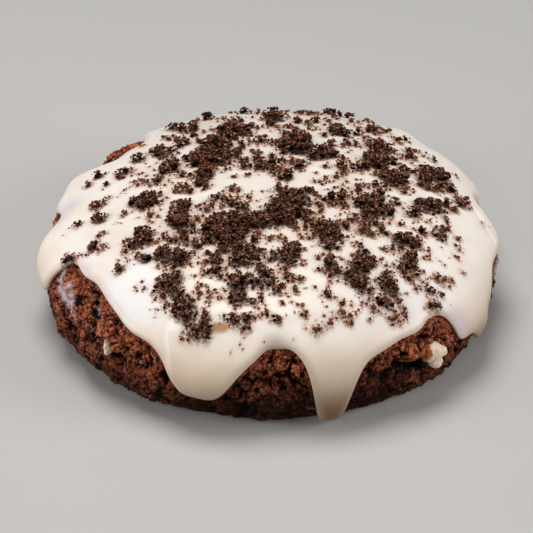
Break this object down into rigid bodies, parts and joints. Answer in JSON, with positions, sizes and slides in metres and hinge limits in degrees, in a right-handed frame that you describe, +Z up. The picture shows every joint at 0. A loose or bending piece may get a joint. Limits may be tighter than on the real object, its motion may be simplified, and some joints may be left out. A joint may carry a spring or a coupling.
{
  "type": "iced chocolate cookie",
  "caption": "Thick craggy chocolate cookie under poured white icing that drips down its side, strewn with dark wafer crumbs, with walnut pieces in the side.",
  "frame": {"origin": "middle of the flat foot that the cookie rests on", "axes": "+Z up through the icing; +X to the right and -Y to the front, seen with the longest drip in front; the walnut pieces are front right and front left"},
  "size_m": [0.0944, 0.0947, 0.0291],
  "materials": {
    "cookie": "baked chocolate dough, matte and craggy",
    "icing": "set sugar icing, soft sheen",
    "crumbs": "crushed chocolate wafer, matte",
    "walnut": "toasted walnut, slightly oily"
  },
  "bodies": {
    "root": {"cookie": "cookie", "icing": "icing", "nut_right": "walnut", "nut_left": "walnut"}
  },
  "joints": []
}
